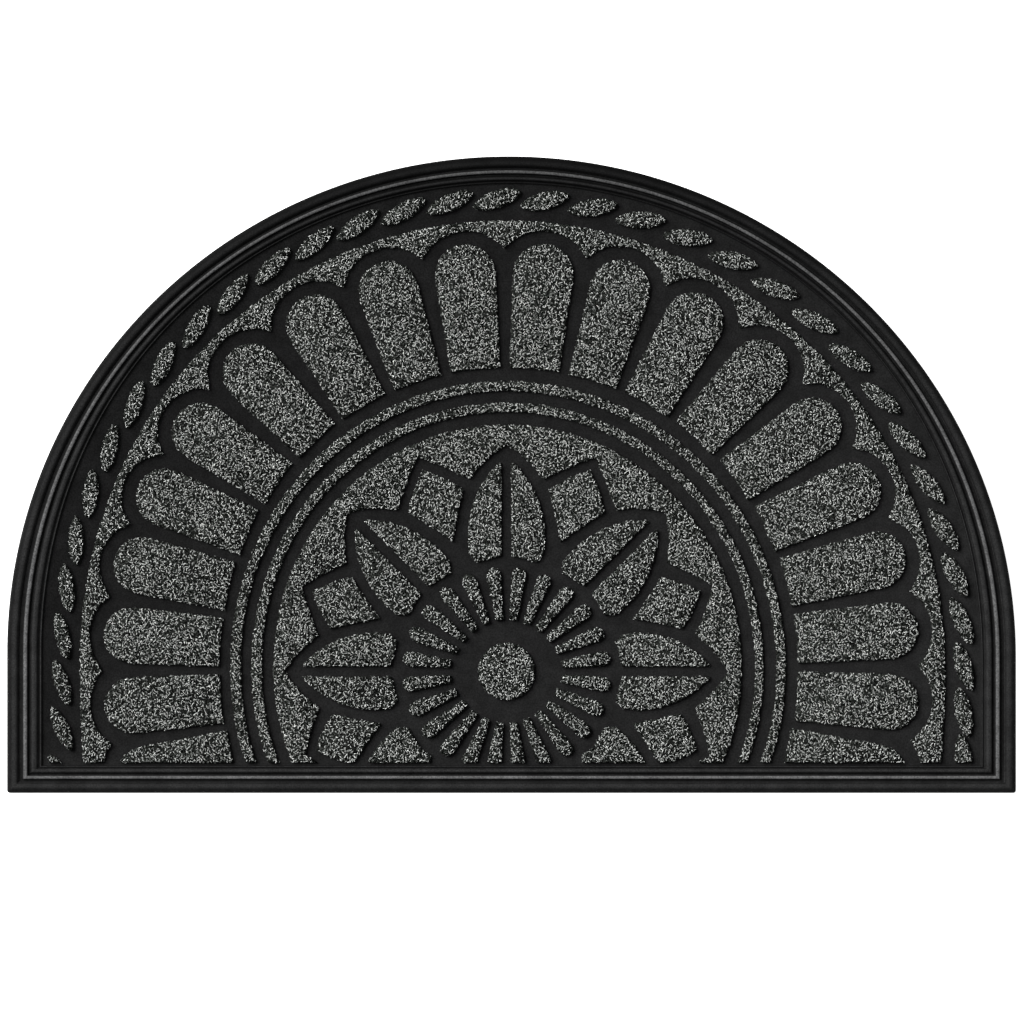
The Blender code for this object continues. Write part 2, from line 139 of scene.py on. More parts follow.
@dataclass(frozen=True)
class MouldedRubber:
    """Black rubber pressed in a steel mould.

    The ramp by height gives the floor a dull, slightly mottled charcoal. The grooves and
    flanks are painted black as painted shade, and the crowns of the bands and the lip are
    painted lighter as painted highlight. The thin bead is a paler, grainy grey. The frame is
    darkened towards the crown of the arc with painted shade.
    """

    # Columns: height in millimetres, colour at that height. The grooves and flanks are darker
    # than the rubber's own charcoal as painted shade, and the crowns and the lip are lighter as
    # painted highlight.
    colour_and_light_by_height: tuple[tuple[float, str], ...] = (
        (3.62, "#181818"),
        (4.6, "#151515"),
        (5.4, "#0f0f0f"),
        (5.6, "#2b2b2b"),
        (5.75, "#101010"),
        (6.15, "#151515"),
        (6.6, "#272727"),
        (6.9, "#272727"),
        (7.3, "#555555"),
    )
    # Columns: height in millimetres, share of the painted shade towards the crown of the arc that
    # this height gets.
    crown_shade_by_height: tuple[tuple[float, float], ...] = (
        (4.4, 0.0),
        (5.2, 1.0),
        (6.55, 1.0),
        (6.8, 0.5),
        (7.1, 0.5),
    )
    highest: float = 8.0
    crown_from: float = -60.0
    crown_to: float = 270.0
    most_crown_shade: float = 0.68
    mottle: float = 14.0
    mottle_range: tuple[float, float] = (0.72, 1.26)
    grain: float = 1.3
    grain_range: tuple[float, float] = (0.56, 1.44)
    grain_depth: float = 0.06
    mottle_detail: float = 5.0
    mottle_roughness: float = 0.62
    grain_detail: float = 2.0
    grain_roughness: float = 0.5
    # The part of each noise that is spread over its range of brightness.
    noise_range: tuple[float, float] = (0.3, 0.7)
    bump_strength: float = 0.6
    roughness: float = 0.58
    ior: float = 1.5
    specular: float = 0.04

    def ramp(
        self,
        tree: bpy.types.NodeTree,
        share: bpy.types.NodeSocket,
        colours: list[tuple[float, tuple[float, float, float, float]]],
    ) -> bpy.types.Node:
        """Adds a ramp of colours by height.

        Args:
            tree: the material's nodes.
            share: the height as a share of the highest.
            colours: heights in millimetres and linear colours, lowest first.

        Returns:
            The ramp's node.
        """
        node = add_node(tree, "ShaderNodeValToRGB", None, {"Fac": share})
        # A new ramp has two stops already.
        stops = node.color_ramp.elements
        for number, (up, colour) in enumerate(colours):
            stop = stops[number] if number < 2 else stops.new(up / self.highest)
            stop.position = up / self.highest
            stop.color = colour
        return node

    def make(self) -> bpy.types.Material:
        """Builds the material.

        Returns:
            The material.
        """
        material, tree = new_material("moulded_rubber")
        place = add_node(tree, "ShaderNodeTexCoord").outputs["Object"]
        mottle = add_node(
            tree,
            "ShaderNodeTexNoise",
            None,
            {
                "Vector": place,
                "Scale": MM_PER_METRE / self.mottle,
                "Detail": self.mottle_detail,
                "Roughness": self.mottle_roughness,
            },
        )
        grain = add_node(
            tree,
            "ShaderNodeTexNoise",
            None,
            {
                "Vector": place,
                "Scale": MM_PER_METRE / self.grain,
                "Detail": self.grain_detail,
                "Roughness": self.grain_roughness,
            },
        )
        axes = add_node(tree, "ShaderNodeSeparateXYZ", None, {0: place}).outputs
        height = axes["Z"]
        share = add_node(
            tree,
            "ShaderNodeMath",
            {"operation": "DIVIDE"},
            {0: height, 1: self.highest * MM},
        )
        # Colour by height: the rubber's own charcoal, with painted shade in the grooves and flanks
        # and painted highlight on the crowns and the lip.
        colours = [(up, to_linear(colour)) for up, colour in self.colour_and_light_by_height]
        ramp = self.ramp(tree, share.outputs["Value"], colours)
        greys = [(up, (grey, grey, grey, 1.0)) for up, grey in self.crown_shade_by_height]
        crown_shade_ramp = self.ramp(tree, share.outputs["Value"], greys)
        patches = add_node(
            tree,
            "ShaderNodeMapRange",
            None,
            {
                "Value": mottle.outputs["Fac"],
                "From Min": self.noise_range[0],
                "From Max": self.noise_range[1],
                "To Min": self.mottle_range[0],
                "To Max": self.mottle_range[1],
            },
        )
        speckle = add_node(
            tree,
            "ShaderNodeMapRange",
            None,
            {
                "Value": grain.outputs["Fac"],
                "From Min": self.noise_range[0],
                "From Max": self.noise_range[1],
                "To Min": self.grain_range[0],
                "To Max": self.grain_range[1],
            },
        )
        # Painted shade: the frame darkens towards the crown of the arc, and the bead by half as
        # much.
        to_crown = add_node(
            tree,
            "ShaderNodeMapRange",
            None,
            {
                "Value": axes["Y"],
                "From Min": self.crown_from * MM,
                "From Max": self.crown_to * MM,
                "To Min": 0.0,
                "To Max": self.most_crown_shade,
            },
        )
        crown_shade_amount = add_node(
            tree,
            "ShaderNodeMath",
            {"operation": "MULTIPLY"},
            {0: to_crown.outputs["Result"], 1: crown_shade_ramp.outputs["Color"]},
        )
        unshaded_share = add_node(
            tree, "ShaderNodeMath", {"operation": "SUBTRACT"}, {0: 1.0, 1: crown_shade_amount.outputs["Value"]}
        )
        texture = add_node(
            tree,
            "ShaderNodeMath",
            {"operation": "MULTIPLY"},
            {0: patches.outputs["Result"], 1: speckle.outputs["Result"]},
        )
        both = add_node(
            tree,
            "ShaderNodeMath",
            {"operation": "MULTIPLY"},
            {0: texture.outputs["Value"], 1: unshaded_share.outputs["Value"]},
        )
        colour = add_node(
            tree,
            "ShaderNodeVectorMath",
            {"operation": "SCALE"},
            {0: ramp.outputs["Color"], "Scale": both.outputs["Value"]},
        )
        bump = add_node(
            tree,
            "ShaderNodeBump",
            None,
            {
                "Strength": self.bump_strength,
                "Distance": self.grain_depth * MM,
                "Height": grain.outputs["Fac"],
            },
        )
        shader = add_node(
            tree,
            "ShaderNodeBsdfPrincipled",
            None,
            {
                "Base Color": colour.outputs["Vector"],
                "Roughness": self.roughness,
                "IOR": self.ior,
                "Specular IOR Level": self.specular,
                "Normal": bump.outputs["Normal"],
            },
        )
        add_node(tree, "ShaderNodeOutputMaterial", None, {"Surface": shader.outputs["BSDF"]})
        return material


@dataclass(frozen=True)
class PileStrand:
    """Crimped synthetic fibre, pale grey and near-black ends mixed in one yarn.

    Each strand holds its own lightness from 0 to 1, so that the pad reads as salt and pepper.
    Its vertices darken that lightness with painted shade towards its ends and low in the pile.
    """

    dark: str = "#0a0b0a"
    middle: str = "#6c6f6b"
    light: str = "#f8faf6"
    roughness: float = 0.6
    specular: float = 0.1

    def make(self) -> bpy.types.Material:
        """Builds the material.

        Returns:
            The material.
        """
        material, tree = new_material("curly_fibre")
        shade = add_node(tree, "ShaderNodeAttribute", {"attribute_name": "shade"})
        ramp = add_node(tree, "ShaderNodeValToRGB", None, {"Fac": shade.outputs["Fac"]})
        stops = ramp.color_ramp.elements
        stops[0].color = to_linear(self.dark)
        stops[1].color = to_linear(self.light)
        stops.new(0.5).color = to_linear(self.middle)
        shader = add_node(
            tree,
            "ShaderNodeBsdfPrincipled",
            None,
            {
                "Base Color": ramp.outputs["Color"],
                "Roughness": self.roughness,
                "Specular IOR Level": self.specular,
            },
        )
        add_node(tree, "ShaderNodeOutputMaterial", None, {"Surface": shader.outputs["BSDF"]})
        return material


@dataclass(frozen=True)
class PileGround:
    """The matted foot of the pile: deeper curls that show between the strands.

    Two layers of thin, winding pale lines on black stand for the curls that lie below the strands.
    The black is partly dark fibre and partly painted shade in the pits between the curls, and the
    lines are pale fibre dimmed with painted shade.
    """

    # dark: dark fibre and painted shade in the pits. curl: pale fibre dimmed with painted shade.
    dark: str = "#030403"
    curl: str = "#444743"
    spacing: float = 2.0
    width: float = 0.045
    depth: float = 0.4
    noise_detail: float = 1.0
    noise_roughness: float = 0.5
    distortion: float = 0.4
    noise_middle: float = 0.5
    second_layer: float = 0.37
    bump_strength: float = 0.8
    roughness: float = 0.9
    specular: float = 0.02

    def curls(
        self, tree: bpy.types.NodeTree, place: bpy.types.NodeSocket, turn: float
    ) -> bpy.types.NodeSocket:
        """Draws one layer of winding lines where a noise crosses its middle.

        Args:
            tree: the material's nodes.
            place: the coordinates.
            turn: a shift that makes this layer unlike the other.

        Returns:
            1 on a line and 0 between the lines.
        """
        moved = add_node(
            tree, "ShaderNodeMapping", None, {"Vector": place, "Location": (turn, -turn, turn)}
        )
        noise = add_node(
            tree,
            "ShaderNodeTexNoise",
            None,
            {
                "Vector": moved.outputs["Vector"],
                "Scale": MM_PER_METRE / self.spacing,
                "Detail": self.noise_detail,
                "Roughness": self.noise_roughness,
                "Distortion": self.distortion,
            },
        )
        off = add_node(
            tree,
            "ShaderNodeMath",
            {"operation": "SUBTRACT"},
            {0: noise.outputs["Fac"], 1: self.noise_middle},
        )
        away = add_node(
            tree, "ShaderNodeMath", {"operation": "ABSOLUTE"}, {0: off.outputs["Value"]}
        )
        line = add_node(
            tree,
            "ShaderNodeMapRange",
            {"interpolation_type": "SMOOTHSTEP"},
            {
                "Value": away.outputs["Value"],
                "From Min": 0.0,
                "From Max": self.width,
                "To Min": 1.0,
                "To Max": 0.0,
            },
        )
        return line.outputs["Result"]

    def make(self) -> bpy.types.Material:
        """Builds the material.

        Returns:
            The material.
        """
        material, tree = new_material("matted_fibre_ground")
        place = add_node(tree, "ShaderNodeTexCoord").outputs["Object"]
        lines = add_node(
            tree,
            "ShaderNodeMath",
            {"operation": "MAXIMUM"},
            {0: self.curls(tree, place, 0.0), 1: self.curls(tree, place, self.second_layer)},
        )
        # Inputs 6 and 7 of a mix node are its two colours, and output 2 is the mixed one.
        colour = add_node(
            tree,
            "ShaderNodeMix",
            {"data_type": "RGBA"},
            {0: lines.outputs["Value"], 6: to_linear(self.dark), 7: to_linear(self.curl)},
        )
        bump = add_node(
            tree,
            "ShaderNodeBump",
            None,
            {
                "Strength": self.bump_strength,
                "Distance": self.depth * MM,
                "Height": lines.outputs["Value"],
            },
        )
        shader = add_node(
            tree,
            "ShaderNodeBsdfPrincipled",
            None,
            {
                "Base Color": colour.outputs[2],
                "Roughness": self.roughness,
                "Specular IOR Level": self.specular,
                "Normal": bump.outputs["Normal"],
            },
        )
        add_node(tree, "ShaderNodeOutputMaterial", None, {"Surface": shader.outputs["BSDF"]})
        return material


@dataclass(frozen=True)
class StudioFloor:
    """Matt white sheet of a light table, lit a little from below."""

    colour: str = "#f4f4f3"
    glow: float = 1.0
    roughness: float = 0.9
    specular: float = 0.1

    def make(self) -> bpy.types.Material:
        """Builds the material.

        Returns:
            The material.
        """
        material, tree = new_material("studio_floor")
        shader = add_node(
            tree,
            "ShaderNodeBsdfPrincipled",
            None,
            {
                "Base Color": to_linear(self.colour),
                "Roughness": self.roughness,
                "Specular IOR Level": self.specular,
                "Emission Color": to_linear(self.colour),
                "Emission Strength": self.glow,
            },
        )
        add_node(tree, "ShaderNodeOutputMaterial", None, {"Surface": shader.outputs["BSDF"]})
        return material


def finished(
    mesh: bpy.types.Mesh, name: str, materials: list[bpy.types.Material]
) -> bpy.types.Object:
    """Puts a finished mesh in the scene as an object at the origin.

    Args:
        mesh: the mesh, in metres and in its place.
        name: the object's name.
        materials: the materials for its slots, in order.

    Returns:
        The new object.
    """
    for material in materials:
        mesh.materials.append(material)
    piece = bpy.data.objects.new(name, mesh)
    bpy.context.scene.collection.objects.link(piece)
    return piece


@dataclass
class RubberBase:
    """The base: a half-round rubber tray with a ribbed frame and a smooth floor."""

    node: str = "rubber_base"
    width: float = 914.4
    depth: float = 577.0
    arc_centre_up: float = 125.7
    crown_shift: float = -2.3
    inset_blend: int = 6
    corner_radius: float = 2.3
    corner_steps: int = 4
    arc_steps: int = 192
    # Columns: inset at the straight sides, inset at the front edge and round the arc, height.
    profile: tuple[tuple[float, float, float], ...] = (
        (0.0, 0.0, 0.6),
        (0.0, 0.0, 4.4),
        (0.4, 0.4, 5.2),
        (1.4, 1.4, 5.8),
        (3.4, 3.3, 6.15),
        (5.2, 5.0, 6.5),
        (6.6, 6.3, 6.6),
        (8.0, 7.6, 6.5),
        (9.4, 9.0, 6.1),
        (10.4, 10.0, 5.5),
        (10.9, 10.5, 4.7),
        (12.7, 11.4, 4.5),
        (14.0, 12.1, 4.8),
        (14.4, 12.4, 6.2),
        (14.9, 12.8, 7.0),
        (15.8, 13.5, 7.4),
        (17.5, 14.8, 7.4),
        (18.4, 15.5, 7.0),
        (18.9, 15.9, 6.2),
        (19.3, 16.2, 4.8),
        (20.1, 16.9, 4.5),
        (20.9, 17.6, 4.8),
        (21.3, 18.1, 5.7),
        (22.4, 18.7, 6.35),
        (23.5, 19.4, 6.7),
        (24.6, 20.1, 6.8),
        (25.8, 20.8, 6.7),
        (27.0, 21.6, 6.3),
        (28.0, 22.3, 5.6),
        (28.6, 22.7, 4.9),
        (29.6, 23.2, 4.9),
        (30.1, 23.5, 5.5),
        (30.6, 23.9, 5.6),
        (31.2, 24.3, 5.4),
        (31.9, 24.9, 3.9),
        (32.6, 25.5, 3.6),
    )
    bottom_inset: float = 0.5
    smooth_angle: float = 50.0
    straight_step: float = 24.0
    smallest_corner: float = 0.05
    corner_slack: float = 0.01
    # A circle's points that lie more than this share of its radius below its middle are cut away.
    below_middle: float = 1e-6

    @property
    def front(self) -> float:
        """Y of the straight edge."""
        return -self.depth / 2

    @property
    def centre_y(self) -> float:
        """Y at which the straight sides end and the arc begins."""
        return self.front + self.arc_centre_up

    @property
    def rise(self) -> float:
        """How far the arc rises above its centre."""
        return self.depth - self.arc_centre_up

    @property
    def area(self) -> float:
        """Plan area of the half-round sheet, in square millimetres."""
        return self.width * self.arc_centre_up + math.pi / 2 * self.width / 2 * self.rise

    def corner(self, x: float, side: float, end: float) -> Vector:
        """Returns a front corner, drawn in by the given insets.

        Args:
            x: a value on the corner's side of the middle.
            side: the inset from the straight side.
            end: the inset from the front edge.

        Returns:
            The place.
        """
        return Vector((math.copysign(self.width / 2 - side, x), self.front + end, 0.0))

    def outline(self, bm: bmesh.types.BMesh) -> list[bmesh.types.BMEdge]:
        """Draws the half-round outline at full size, at height 0.

        Args:
            bm: the mesh to draw in.

        Returns:
            The outline's edges, closed.
        """
        bmesh.ops.create_circle(bm, segments=2 * self.arc_steps, radius=1.0, cap_ends=False)
        lower = [vertex for vertex in bm.verts if vertex.co.y < -self.below_middle]
        bmesh.ops.delete(bm, geom=lower, context="VERTS")
        for vertex in bm.verts:
            vertex.co.x += self.crown_shift / (self.width / 2) * vertex.co.y
        bmesh.ops.scale(bm, verts=bm.verts, vec=(self.width / 2, self.rise, 1.0))
        bmesh.ops.translate(bm, verts=bm.verts, vec=(0.0, self.centre_y, 0.0))
        ends = [vertex for vertex in bm.verts if len(vertex.link_edges) == 1]
        for step in range(self.corner_steps + 1):
            turn = math.pi / 2 * step / self.corner_steps
            ends = bmesh.ops.extrude_vert_indiv(bm, verts=ends)["verts"]
            for vertex in ends:
                away = Vector((math.copysign(math.cos(turn), vertex.co.x), -math.sin(turn), 0.0))
                place = self.corner(vertex.co.x, self.corner_radius, self.corner_radius)
                vertex.co = place + away * self.corner_radius
        bm.edges.new(ends)
        straight = [edge for edge in bm.edges if edge.calc_length() > self.arc_centre_up / 2]
        for edge in straight:
            cuts = round(edge.calc_length() / self.straight_step)
            bmesh.ops.subdivide_edges(bm, edges=[edge], cuts=cuts)
        return list(bm.edges)

    def fitted(self, vertex: Vector, side: float, end: float) -> Vector:
        """Moves a point of the full outline to the ring that lies inside it.

        Args:
            vertex: a point of the full outline.
            side: the ring's inset at the sides.
            end: the ring's inset at the front edge and the crown.

        Returns:
            The point on the ring.
        """
        half = self.width / 2
        if vertex.y >= self.centre_y:
            up = (vertex.y - self.centre_y) / self.rise
            across = (vertex.x - self.crown_shift * up) / half
            outward = Vector((across / half, up / self.rise, 0.0)).normalized()
            inset = end + (side - end) * abs(across) ** self.inset_blend
            return vertex - outward * inset
        away = vertex - self.corner(vertex.x, self.corner_radius, self.corner_radius)
        if away.length < self.corner_radius + self.corner_slack:
            radius = max(self.corner_radius - (side + end) / 2, self.smallest_corner)
            place = self.corner(vertex.x, side + radius, end + radius)
            return place + away.normalized() * radius
        scale_x = 1.0 - side / half
        scale_y = 1.0 - end / self.arc_centre_up
        y = self.centre_y + (vertex.y - self.centre_y) * scale_y
        return Vector((vertex.x * scale_x, y, 0.0))

    def build(self, rubber: bpy.types.Material) -> bpy.types.Object:
        """Builds the base and sets it on the CAD body.

        Args:
            rubber: the finish.

        Returns:
            The base.
        """
        bm = bmesh.new()
        loop = self.outline(bm)
        full = bm.verts.layers.float_vector.new("full")
        for vertex in bm.verts:
            vertex[full] = vertex.co
        under = list(bm.verts)
        start = list(loop)
        for side, end, height in self.profile:
            made = bmesh.ops.extrude_edge_only(bm, edges=loop)["geom"]
            for vertex in (item for item in made if isinstance(item, bmesh.types.BMVert)):
                vertex.co = self.fitted(vertex[full], side, end)
                vertex.co.z = height
            loop = [item for item in made if isinstance(item, bmesh.types.BMEdge)]
            loop = [edge for edge in loop if edge.is_boundary]
        for vertex in under:
            vertex.co = self.fitted(vertex[full], self.bottom_inset, self.bottom_inset)
        bmesh.ops.contextual_create(bm, geom=loop)
        bmesh.ops.contextual_create(bm, geom=start)
        bmesh.ops.recalc_face_normals(bm, faces=bm.faces)
        bmesh.ops.triangulate(bm, faces=[face for face in bm.faces if len(face.verts) > 4])
        bmesh.ops.scale(bm, verts=bm.verts, vec=(MM, MM, MM))
        mesh = bpy.data.meshes.new(self.node)
        bm.to_mesh(mesh)
        bm.free()
        mesh.shade_smooth()
        mesh.set_sharp_from_angle(angle=math.radians(self.smooth_angle))
        piece = finished(mesh, "base", [rubber])
        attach(piece, "root")
        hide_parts(self.node)
        log.info("base: %d faces", len(mesh.polygons))
        return piece


@dataclass(frozen=True)
class Outline:
    """The plan outline of a pad, as short straight pieces with their outward directions."""

    start: np.ndarray
    end: np.ndarray
    outward: np.ndarray

    def inside(self, points: np.ndarray) -> np.ndarray:
        """Tells which points lie inside, by counting the edges to their right.

        Args:
            points: the points, as rows of X and Y.

        Returns:
            True for each point inside.
        """
        found = np.zeros(len(points), bool)
        for (x0, y0), (x1, y1) in zip(self.start, self.end):
            if y0 == y1:
                continue
            spans = (y0 > points[:, 1]) != (y1 > points[:, 1])
            found ^= spans & (points[:, 0] < (x1 - x0) * (points[:, 1] - y0) / (y1 - y0) + x0)
        return found

    def nearest(self, points: np.ndarray) -> tuple[np.ndarray, np.ndarray]:
        """Finds how far each point lies inside the outline.

        Args:
            points: the points, as rows of X and Y.

        Returns:
            The distance, which is negative outside, and the outward direction at the nearest edge.
        """
        along = self.end - self.start
        squared = (along**2).sum(1)
        best = np.full(len(points), np.inf)
        outward = np.zeros((len(points), 2))
        for first, step, size, away in zip(self.start, along, squared, self.outward):
            share = np.clip((points - first) @ step / size, 0.0, 1.0)
            gap = points - first - share[:, None] * step
            distance = (gap**2).sum(1)
            nearer = distance < best
            best[nearer] = distance[nearer]
            outward[nearer] = away
        return np.sqrt(best) * np.where(self.inside(points), 1.0, -1.0), outward

    @property
    def length(self) -> np.ndarray:
        """Length of each piece."""
        return np.linalg.norm(self.end - self.start, axis=1)


@dataclass(frozen=True)
class StrandSizes:
    """Sizes of the strands. The real fibre is finer: it is drawn as thick as it needs to show."""

    top_per_area: float = 0.33
    wall_per_area: float = 0.08
    shortest: float = 2.0
    usual: float = 3.2
    longest: float = 5.0
    half_width: float = 0.32
    half_height: float = 0.28
    lift: float = 1.1
    tuck: float = 0.5
    upright: float = 0.2
    # Spread of a strand's turn in degrees, and the most that it turns, in radians.
    turn: float = 120.0
    most_turn: float = 3.9
    crimp: float = 40.0
    waver: float = 0.12
    stray: float = 0.1
    far_stray: float = 3.0
    stray_share: float = 0.14
    edge_round: float = 1.2
    edge_fall: float = 0.28
    # The slow rise and fall of the top, and the lengths that set its waves in X and in Y.
    swell: float = 0.18
    swell_lengths: tuple[float, float] = (7.3, 8.9)
    # On the upright sides: clearance above the foot and below the top, lowest point, distance out
    # from the side, and the shares of a strand's height, lift and width that are kept.
    wall_rise: float = 0.8
    wall_drop: float = 0.2
    wall_lowest: float = 0.3
    wall_out: float = 0.1
    wall_height_share: float = 0.45
    wall_lift_share: float = 0.7
    wall_width_share: float = 0.8
    # Turn of the three-sided body from ring to ring, in radians, and the range of its thickness.
    twist: float = 0.4
    thickness: tuple[float, float] = (0.75, 1.2)
    # Lightness of the pale, grey and black strands, and where the draw passes from kind to kind.
    pale: tuple[float, float] = (0.62, 1.0)
    grey: tuple[float, float] = (0.3, 0.6)
    black: tuple[float, float] = (0.0, 0.1)
    pale_below: float = 0.62
    grey_below: float = 0.71
    # A strand darkens towards its ends, as painted shade where it dips into the ground. Its light
    # is also its height over the dark height, as a share of the rise, kept between the least light
    # and full: painted shade that darkens the deep pile.
    end_shade: float = 0.3
    dark_height: float = 4.4
    dark_rise: float = 2.6
    least_light: float = 0.2


@dataclass
class Strands:
    """Strands of one pad, gathered as arrays."""

    sizes: StrandSizes
    rng: np.random.Generator
    places: list[np.ndarray] = field(default_factory=list)

    # Where along a strand its points lie, from -0.5 to 0.5.
    STATIONS = np.array((-0.5, -0.2, 0.2, 0.5))
    SIDES = 3
    # Added to lengths that are divided by, so that none of them is zero.
    TANGENT_GUARD = 1e-9
    SIDE_GUARD = 1e-6

    def curls(self, count: int) -> tuple[np.ndarray, np.ndarray]:
        """Draws curled strands on a flat sheet.

        Args:
            count: how many.

        Returns:
            The strands' points about their middles, and their lift above the sheet.
        """
        rng, sizes = self.rng, self.sizes
        stations = len(self.STATIONS)
        length = rng.triangular(sizes.shortest, sizes.usual, sizes.longest, count)
        heading = rng.uniform(0, 2 * math.pi, count)
        heading += sizes.upright * np.sin(2 * heading)
        turn = np.radians(rng.normal(0, sizes.turn, count))
        turn = turn.clip(-sizes.most_turn, sizes.most_turn)
        crimp = np.radians(rng.normal(0, sizes.crimp, (count, stations - 1)))
        middle = (self.STATIONS[1:] + self.STATIONS[:-1]) / 2
        angle = heading[:, None] + turn[:, None] * middle + crimp
        step = length[:, None] * np.diff(self.STATIONS)
        steps = np.stack([np.cos(angle), np.sin(angle)], 2) * step[:, :, None]
        points = np.concatenate([np.zeros((count, 1, 2)), steps.cumsum(1)], 1)
        points -= points.mean(1, keepdims=True)
        bow = 1 - (2 * self.STATIONS) ** 2
        lift = rng.uniform(0.0, sizes.lift, (count, 1)) * bow - sizes.tuck * (1 - bow)
        lift += rng.normal(0, sizes.waver, (count, stations))
        return points, lift

    def add_top(self, outline: Outline, level: float) -> None:
        """Lays strands over the top of the pad.

        Args:
            outline: the pad's outline.
            level: the height of the ground under them.
        """
        rng, sizes = self.rng, self.sizes
        low = np.minimum(outline.start.min(0), outline.end.min(0))
        high = np.maximum(outline.start.max(0), outline.end.max(0))
        pitch = sizes.top_per_area**-0.5
        grid = np.stack(
            np.meshgrid(np.arange(low[0], high[0], pitch), np.arange(low[1], high[1], pitch)), 2
        ).reshape(-1, 2)
        spots = grid + rng.uniform(0, pitch, grid.shape)
        spots = spots[outline.inside(spots)]
        points, lift = self.curls(len(spots))
        flat = (points + spots[:, None]).reshape(-1, 2)
        gap, outward = outline.nearest(flat)
        stray = np.where(
            rng.random(len(spots)) < sizes.stray_share,
            rng.uniform(sizes.stray, sizes.far_stray, len(spots)),
            rng.uniform(0.0, sizes.stray, len(spots)),
        ).repeat(len(self.STATIONS))
        over = np.clip(-gap - stray, 0.0, None)
        flat -= outward * over[:, None]
        gap = gap + over
        fall = np.clip(sizes.edge_round - gap, 0.0, None)
        height = level + lift.ravel() - sizes.edge_fall * fall**2
        wave_x, wave_y = sizes.swell_lengths
        height += sizes.swell * np.sin(flat[:, 0] / wave_x) * np.cos(flat[:, 1] / wave_y)
        places = np.column_stack([flat, height]).reshape(len(spots), -1, 3)
        self.places.append(places)

    def add_wall(self, outline: Outline, foot: float, level: float) -> None:
        """Lays strands on the pad's upright sides.

        Args:
            outline: the pad's outline.
            foot: the lowest height they reach.
            level: the height of the pad's ground.
        """
        rng, sizes = self.rng, self.sizes
        length = outline.length
        count = int(length.sum() * (level - foot) * sizes.wall_per_area)
        chosen = rng.choice(len(length), count, p=length / length.sum())
        share = rng.random((count, 1))
        on_edge = outline.start[chosen] * (1 - share) + outline.end[chosen] * share
        outward = outline.outward[chosen]
        points, lift = self.curls(count)
        along = np.stack([-outward[:, 1], outward[:, 0]], 1)
        low, high = foot + sizes.wall_rise, level - sizes.wall_drop
        height = rng.uniform(low, high, (count, 1)) + points[:, :, 1] * sizes.wall_height_share
        out = sizes.wall_out + lift * sizes.wall_lift_share
        flat = on_edge[:, None] + along[:, None] * points[:, :, :1] * sizes.wall_width_share
        flat = flat + outward[:, None] * out[:, :, None]
        height = np.clip(height, foot + sizes.wall_lowest, None)
        self.places.append(np.concatenate([flat, height[:, :, None]], 2))

    def lightness(self, count: int) -> np.ndarray:
        """Draws the lightness of each strand: most of them pale, the rest from grey to black.

        Args:
            count: how many.

        Returns:
            Numbers from 0, black, to 1, white.
        """
        rng, sizes = self.rng, self.sizes
        kind = rng.random(count)
        pale = rng.uniform(*sizes.pale, count)
        grey = rng.uniform(*sizes.grey, count)
        black = rng.uniform(*sizes.black, count)
        darker = np.where(kind < sizes.grey_below, grey, black)
        return np.where(kind < sizes.pale_below, pale, darker)

    def mesh_arrays(self) -> tuple[np.ndarray, np.ndarray, np.ndarray, np.ndarray]:
        """Gives the strands their three-sided bodies.

        Returns:
            Vertices, triangles, lightness by vertex with its painted shade, and map places by
            vertex.
        """
        sizes = self.sizes
        centre = np.concatenate(self.places)
        count = len(centre)
        tangent = np.gradient(centre, axis=1)
        tangent /= np.linalg.norm(tangent, axis=2, keepdims=True) + self.TANGENT_GUARD
        up = np.array((0.0, 0.0, 1.0))
        side = np.cross(tangent, up)
        side /= np.linalg.norm(side, axis=2, keepdims=True) + self.SIDE_GUARD
        lift = np.cross(side, tangent)
        inner = len(self.STATIONS) - 2
        sides = self.SIDES
        last = sides * inner + 1
        roll = self.rng.uniform(0, 2 * math.pi, (count, 1)) + sizes.twist * np.arange(inner)
        thick = self.rng.uniform(*sizes.thickness, (count, 1))
        rings = []
        for corner in range(sides):
            turn = roll + corner * 2 * math.pi / sides
            across = (np.cos(turn) * thick * sizes.half_width)[:, :, None]
            above = (np.sin(turn) * thick * sizes.half_height)[:, :, None]
            rings.append(centre[:, 1:-1] + side[:, 1:-1] * across + lift[:, 1:-1] * above)
        rings = np.stack(rings, 2).reshape(count, sides * inner, 3)
        vertices = np.concatenate([centre[:, :1], rings, centre[:, -1:]], 1)
        pattern = [(0, 1 + a, 1 + (a + 1) % sides) for a in range(sides)]
        for ring in range(1, last - sides, sides):
            for a in range(sides):
                b = (a + 1) % sides
                pattern.append((ring + a, ring + sides + a, ring + sides + b))
                pattern.append((ring + a, ring + sides + b, ring + b))
        pattern += [(last - sides + a, last, last - sides + (a + 1) % sides) for a in range(sides)]
        triangles = np.array(pattern)[None] + (last + 1) * np.arange(count)[:, None, None]
        base = self.lightness(count)
        along = np.concatenate([[0.0], (self.STATIONS[1:-1] + 0.5).repeat(sides), [1.0]])
        round_it = np.array([0.5] + [0.0, 0.5, 1.0] * inner + [0.5])
        # Painted shade: each strand's lightness falls towards its ends and low down in the pile.
        risen = (vertices[:, :, 2] - sizes.dark_height) / sizes.dark_rise
        sunk = np.clip(risen, sizes.least_light, 1.0)
        shade = base[:, None] * (1 - sizes.end_shade * np.abs(2 * along - 1) ** 2) * sunk
        place_u = STRAND_MAP_LEFT + MAP_WIDTH * base[:, None] + STRAND_MAP_GIRTH * round_it
        place_v = np.broadcast_to(MAP_LOW + MAP_HEIGHT * along, place_u.shape)
        uv = np.stack([place_u, place_v], 2)
        return (
            vertices.reshape(-1, 3),
            triangles.reshape(-1, 3),
            shade.ravel(),
            uv.reshape(-1, 2),
        )


